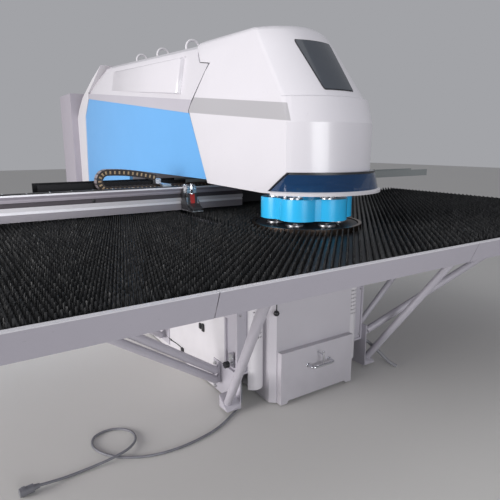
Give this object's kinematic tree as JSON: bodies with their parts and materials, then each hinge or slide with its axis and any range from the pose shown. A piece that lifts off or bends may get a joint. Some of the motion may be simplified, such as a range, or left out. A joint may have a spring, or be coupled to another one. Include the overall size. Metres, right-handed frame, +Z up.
{
  "type": "cnc turret punch press",
  "caption": "Turret punch press with a C-frame, moulded head over a lobed turret, wide brush table, cross beam with sheet clamps, scrap drawer and a rear electrical cabinet.",
  "frame": {"origin": "on the floor under the turret axis, at the middle of the cabinet's sole pad", "axes": "+X to the right along the table's front edge, +Y to the rear along the C-frame, +Z up"},
  "size_m": [4.958, 5.0533, 2.2945],
  "materials": {
    "white_paint": "smooth off-white powder coat",
    "grey_paint": "light grey powder coat",
    "blue_paint": "mid blue powder coat",
    "turret_blue": "blue machine enamel",
    "shell_white": "moulded glass-fibre shell, satin gloss",
    "dark_steel": "dark machined casting",
    "bright_steel": "ground steel",
    "zinc_sheet": "galvanised sheet",
    "anodised": "natural anodised profile",
    "chrome": "polished chrome",
    "bristle": "black nylon bristles",
    "visor_clear": "tinted clear acrylic",
    "smoked_glass": "smoked glass",
    "ring_steel": "oiled steel ring",
    "black_plastic": "black plastic",
    "clamp_red": "red enamel",
    "chain_plastic": "dark brown polyamide",
    "cable_grey": "grey rubber sheath",
    "cabinet_grey": "warm grey textured powder coat"
  },
  "bodies": {
    "machine": {"base_frame": "grey_paint", "scrap_cabinet": "white_paint", "base_cover_left": "white_paint", "base_cover_right": "white_paint", "service_housing_left": "grey_paint", "service_housing_right": "grey_paint", "grille_cover_left": "white_paint", "grille_cover_right": "white_paint", "air_regulator": "bright_steel", "table_struts": "grey_paint", "c_column": "grey_paint", "c_arm": "grey_paint", "front_shell": "shell_white", "rear_shell": "shell_white", "side_bands": "grey_paint", "side_panel_left": "blue_paint", "side_panel_right": "blue_paint", "rear_frame": "white_paint", "windshield": "smoked_glass", "visor": "visor_clear", "visor_rim": "white_paint", "lifting_rings": "white_paint", "table_left_frame": "grey_paint", "table_mid_frame": "grey_paint", "table_right_frame": "grey_paint", "brush_left": "bristle", "brush_mid": "bristle", "brush_right": "bristle", "fascia_outer_left": "grey_paint", "fascia_inner_left": "grey_paint", "fascia_inner_right": "grey_paint", "fascia_outer_right": "grey_paint", "y_rails": "bright_steel", "die_ring": "ring_steel", "ram_guide": "dark_steel", "electrical_cabinet": "cabinet_grey", "floor_cable": "cable_grey", "cable_plug": "cable_grey", "drain_hose": "cable_grey"},
    "beam": {"y_saddles": "dark_steel", "cross_beam": "dark_steel", "cable_trough": "zinc_sheet", "drag_chain": "chain_plastic"},
    "bar": {"clamp_bar": "anodised", "chain_bracket": "bright_steel"},
    "clamp_1": {"clamp_body_1": "bright_steel"},
    "jaw_1": {"clamp_jaw_1": "clamp_red"},
    "clamp_2": {"clamp_body_2": "bright_steel"},
    "jaw_2": {"clamp_jaw_2": "clamp_red"},
    "upper_turret_body": {"upper_turret": "turret_blue", "punches": "bright_steel"},
    "punch": {"active_punch": "bright_steel"},
    "die_turret_body": {"die_turret": "dark_steel", "dies": "bright_steel"},
    "ram_body": {"ram": "bright_steel"},
    "drawer": {"scrap_drawer": "white_paint", "drawer_handle": "chrome"},
    "lever": {"release_lever": "black_plastic"},
    "knob": {"regulator_knob": "black_plastic"},
    "cabinet_door": {"cabinet_doors": "cabinet_grey"}
  },
  "joints": [
    {"name": "beam_travel", "type": "slide", "parent": "machine", "child": "beam", "axis": [0, 1, 0], "range_m": [-0.28, 0.62]},
    {"name": "bar_travel", "type": "slide", "parent": "beam", "child": "bar", "axis": [1, 0, 0], "range_m": [0, 2.35], "deforming": ["drag_chain"]},
    {"name": "clamp_1_setting", "type": "slide", "parent": "bar", "child": "clamp_1", "axis": [1, 0, 0], "range_m": [-0.9, 0.38]},
    {"name": "clamp_2_setting", "type": "slide", "parent": "bar", "child": "clamp_2", "axis": [1, 0, 0], "range_m": [-0.6, 0.3]},
    {"name": "jaw_1_opening", "type": "hinge", "parent": "clamp_1", "child": "jaw_1", "pos_m": [-0.386, 0.748, 1.128], "axis": [1, 0, 0], "range_deg": [-12, 0]},
    {"name": "jaw_2_opening", "type": "hinge", "parent": "clamp_2", "child": "jaw_2", "pos_m": [-1.75, 0.748, 1.128], "axis": [1, 0, 0], "range_deg": [-12, 0]},
    {"name": "upper_turret_spin", "type": "hinge", "parent": "machine", "child": "upper_turret_body", "pos_m": [0, 0, 1.15], "axis": [0, 0, 1], "continuous": true},
    {"name": "die_turret_spin", "type": "hinge", "parent": "machine", "child": "die_turret_body", "pos_m": [0, 0, 1.03], "axis": [0, 0, 1], "continuous": true},
    {"name": "ram_drop", "type": "slide", "parent": "machine", "child": "ram_body", "axis": [0, 0, -1], "range_m": [0, 0.032]},
    {"name": "punch_drop", "type": "slide", "parent": "upper_turret_body", "child": "punch", "axis": [0, 0, -1], "range_m": [0, 0.032]},
    {"name": "drawer_pull", "type": "slide", "parent": "machine", "child": "drawer", "axis": [0, -1, 0], "range_m": [0, 0.4]},
    {"name": "lever_swing", "type": "hinge", "parent": "machine", "child": "lever", "pos_m": [-0.3, -0.126, 0.76], "axis": [0, 1, 0], "range_deg": [-30, 30]},
    {"name": "knob_turn", "type": "hinge", "parent": "machine", "child": "knob", "pos_m": [-0.53, 0.028, 0.265], "axis": [1, 0, 0], "range_deg": [-150, 150]},
    {"name": "cabinet_door_swing", "type": "hinge", "parent": "machine", "child": "cabinet_door", "pos_m": [-0.443, 4.0873, 1.08], "axis": [0, 0, 1], "range_deg": [0, 110]}
  ],
  "couplings": [
    {"joint": "die_turret_spin", "follows": "upper_turret_spin", "ratio": 1},
    {"joint": "punch_drop", "follows": "ram_drop", "ratio": 1}
  ]
}
